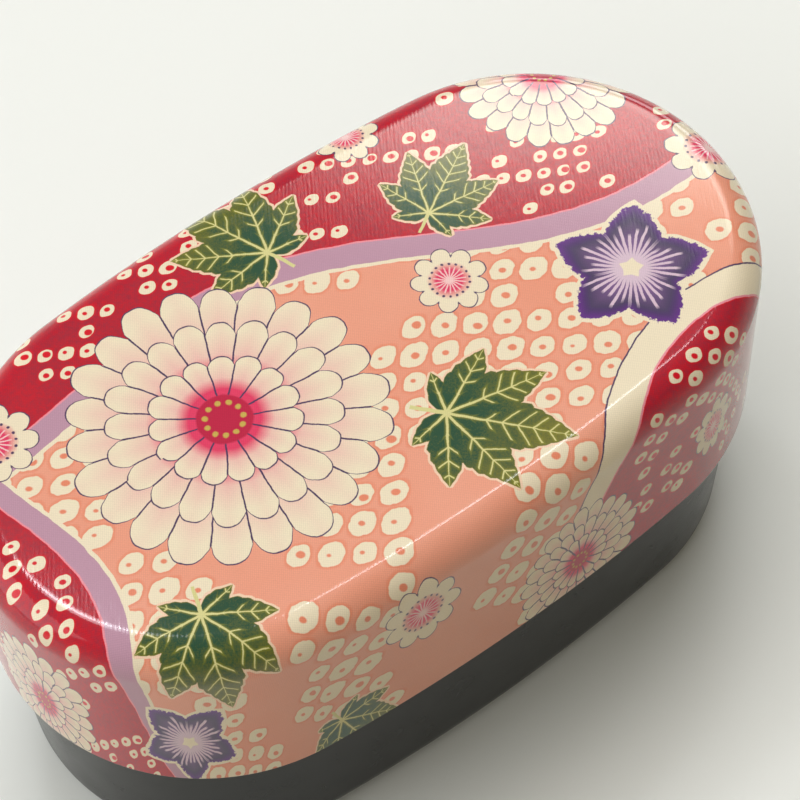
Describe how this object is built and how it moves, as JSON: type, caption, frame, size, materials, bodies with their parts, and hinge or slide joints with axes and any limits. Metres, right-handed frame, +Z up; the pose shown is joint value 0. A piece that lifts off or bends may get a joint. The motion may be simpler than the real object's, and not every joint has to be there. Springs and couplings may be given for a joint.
{
  "type": "bento box",
  "caption": "Oval two-tier lunch box: stacked plastic tiers with dividers, a sealed inner lid and a deep cloth-covered outer lid that slides down over both tiers.",
  "frame": {"origin": "centre of the footprint, on the surface that the box stands on", "axes": "+X along the box's length, +Y across it, +Z up through the lid"},
  "size_m": [0.175, 0.097, 0.085],
  "materials": {
    "tier_plastic": "black, matt, slightly rough to the touch",
    "divider_plastic": "black, matt",
    "inner_lid_plastic": "milky, satin",
    "seal_silicone": "white silicone, matt",
    "lid_plastic": "black, satin",
    "lid_cloth": "fine printed cloth under a glossy clear coat"
  },
  "bodies": {
    "lower_tier": {"lower_tier": "tier_plastic"},
    "lower_divider": {"lower_divider": "divider_plastic"},
    "upper_tier": {"upper_tier": "tier_plastic"},
    "upper_divider": {"upper_divider": "divider_plastic"},
    "inner_lid": {"inner_lid": "inner_lid_plastic", "inner_lid_seal": "seal_silicone"},
    "outer_lid": {"outer_lid_shell": "lid_plastic", "outer_lid_cloth": "lid_cloth"}
  },
  "joints": [
    {"name": "lower_divider_lift", "type": "slide", "parent": "lower_tier", "child": "lower_divider", "axis": [0, 0, 1], "range_m": [0, 0.05]},
    {"name": "upper_tier_lift", "type": "slide", "parent": "lower_divider", "child": "upper_tier", "axis": [0, 0, 1], "range_m": [0, 0.03]},
    {"name": "upper_divider_lift", "type": "slide", "parent": "upper_tier", "child": "upper_divider", "axis": [0, 0, 1], "range_m": [0, 0.045]},
    {"name": "inner_lid_lift", "type": "slide", "parent": "upper_divider", "child": "inner_lid", "axis": [0, 0, 1], "range_m": [0, 0.03]},
    {"name": "outer_lid_lift", "type": "slide", "parent": "inner_lid", "child": "outer_lid", "axis": [0, 0, 1], "range_m": [0, 0.06]}
  ]
}
